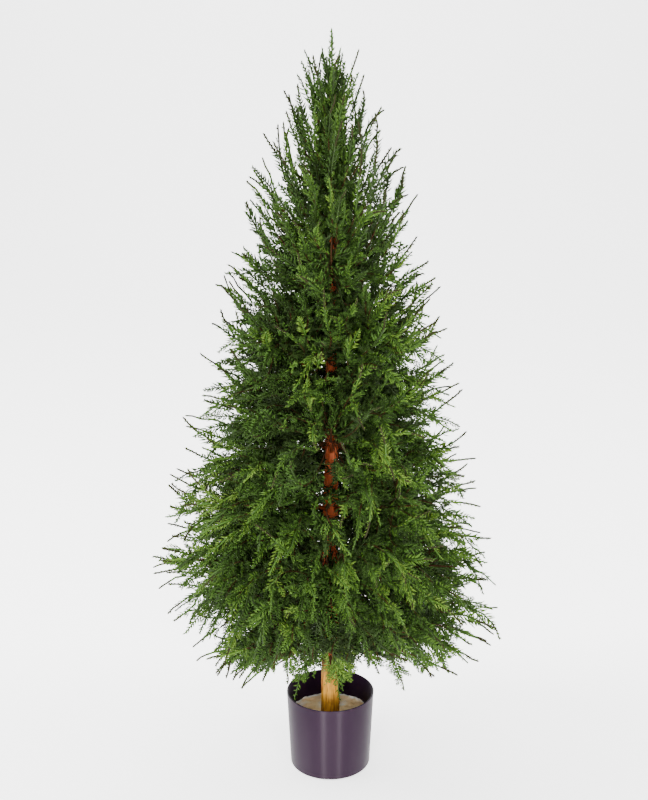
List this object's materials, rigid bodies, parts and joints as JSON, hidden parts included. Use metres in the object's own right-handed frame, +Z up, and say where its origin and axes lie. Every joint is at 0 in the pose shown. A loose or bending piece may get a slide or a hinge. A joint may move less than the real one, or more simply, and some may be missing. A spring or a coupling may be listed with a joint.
{
  "type": "artificial cypress tree",
  "caption": "Conical artificial cypress tree: feathery green sprays round a straight wooden trunk that stands in cement in a plain round plastic pot.",
  "frame": {"origin": "centre of the pot's flat underside, on the floor that the tree stands on", "axes": "+Z up along the trunk; -Y towards the side seen in the picture"},
  "size_m": [0.5392, 0.5315, 1.2],
  "materials": {
    "pot_plastic": "satin",
    "cement": "matte",
    "trunk_wood": "satin",
    "bough_wood": "matte",
    "foliage": "matte"
  },
  "bodies": {
    "root": {"pot": "pot_plastic", "cement_fill": "cement", "trunk": "trunk_wood", "bough_1_1": "bough_wood", "bough_1_2": "bough_wood", "bough_1_3": "bough_wood", "bough_1_4": "bough_wood", "bough_1_5": "bough_wood", "bough_2_1": "bough_wood", "bough_2_2": "bough_wood", "bough_2_3": "bough_wood", "bough_2_4": "bough_wood", "bough_2_5": "bough_wood", "bough_3_1": "bough_wood", "bough_3_2": "bough_wood", "bough_3_3": "bough_wood", "bough_3_4": "bough_wood", "bough_3_5": "bough_wood", "bough_4_1": "bough_wood", "bough_4_2": "bough_wood", "bough_4_3": "bough_wood", "bough_4_4": "bough_wood", "bough_5_1": "bough_wood", "bough_5_2": "bough_wood", "bough_5_3": "bough_wood", "bough_6_1": "bough_wood", "bough_6_2": "bough_wood", "bough_6_3": "bough_wood", "bough_7_1": "bough_wood", "bough_7_2": "bough_wood", "bough_7_3": "bough_wood", "foliage_1_1": "foliage", "foliage_1_2": "foliage", "foliage_1_3": "foliage", "foliage_1_4": "foliage", "foliage_1_5": "foliage", "foliage_2_1": "foliage", "foliage_2_2": "foliage", "foliage_2_3": "foliage", "foliage_2_4": "foliage", "foliage_2_5": "foliage", "foliage_3_1": "foliage", "foliage_3_2": "foliage", "foliage_3_3": "foliage", "foliage_3_4": "foliage", "foliage_3_5": "foliage", "foliage_4_1": "foliage", "foliage_4_2": "foliage", "foliage_4_3": "foliage", "foliage_4_4": "foliage", "foliage_5_1": "foliage", "foliage_5_2": "foliage", "foliage_5_3": "foliage", "foliage_6_1": "foliage", "foliage_6_2": "foliage", "foliage_6_3": "foliage", "foliage_7_1": "foliage", "foliage_7_2": "foliage", "foliage_7_3": "foliage", "foliage_top": "foliage"}
  },
  "joints": []
}
